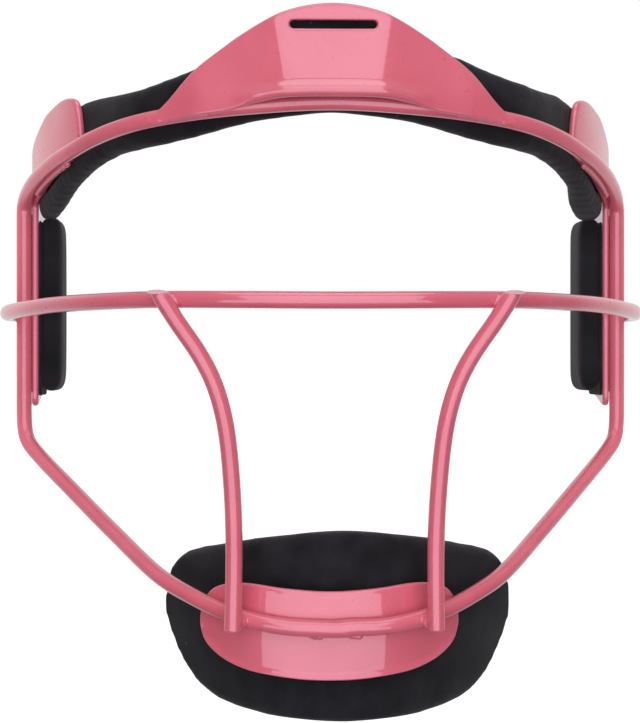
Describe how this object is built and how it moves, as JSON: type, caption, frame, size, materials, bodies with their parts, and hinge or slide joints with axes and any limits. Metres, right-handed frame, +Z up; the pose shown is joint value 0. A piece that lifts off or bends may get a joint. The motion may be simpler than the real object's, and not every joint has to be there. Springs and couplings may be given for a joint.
{
  "type": "fielder's face mask",
  "caption": "Welded steel wire face mask with forehead, side and chin plates, strap slots and removable fabric-faced foam pads.",
  "frame": {"origin": "the middle of the head space, halfway between the two side pads, where the wearer's head holds the mask", "axes": "+Z up, the mask faces -Y, +X to the right of someone facing the mask"},
  "size_m": [0.2032, 0.1573, 0.203],
  "materials": {
    "frame_paint": "gloss pink powder coat",
    "pad_fabric": "brushed black knit",
    "pad_foam": "closed-cell foam, matte",
    "hook_patch": "woven hook tape, matte"
  },
  "bodies": {
    "root": {"brow_wire": "frame_paint", "chin_wire": "frame_paint", "crossbar": "frame_paint", "side_wire_left": "frame_paint", "side_wire_right": "frame_paint", "vertical_bar_left": "frame_paint", "vertical_bar_right": "frame_paint", "forehead_plate": "frame_paint", "side_plate_left": "frame_paint", "side_plate_right": "frame_paint", "chin_plate": "frame_paint", "forehead_pad_back_fabric": "pad_fabric", "forehead_pad_skin_fabric": "pad_fabric", "chin_pad_back_fabric": "pad_fabric", "chin_pad_skin_fabric": "pad_fabric", "side_pad_back_fabric_left": "pad_fabric", "side_pad_skin_fabric_left": "pad_fabric", "side_pad_back_fabric_right": "pad_fabric", "side_pad_skin_fabric_right": "pad_fabric", "forehead_pad_foam": "pad_foam", "chin_pad_foam": "pad_foam", "side_pad_foam_left": "pad_foam", "side_pad_foam_right": "pad_foam", "forehead_pad_hook_centre": "hook_patch", "chin_pad_hook": "hook_patch", "forehead_pad_hook_left": "hook_patch", "forehead_pad_hook_right": "hook_patch", "side_pad_hook_left": "hook_patch", "side_pad_hook_right": "hook_patch"}
  },
  "joints": []
}
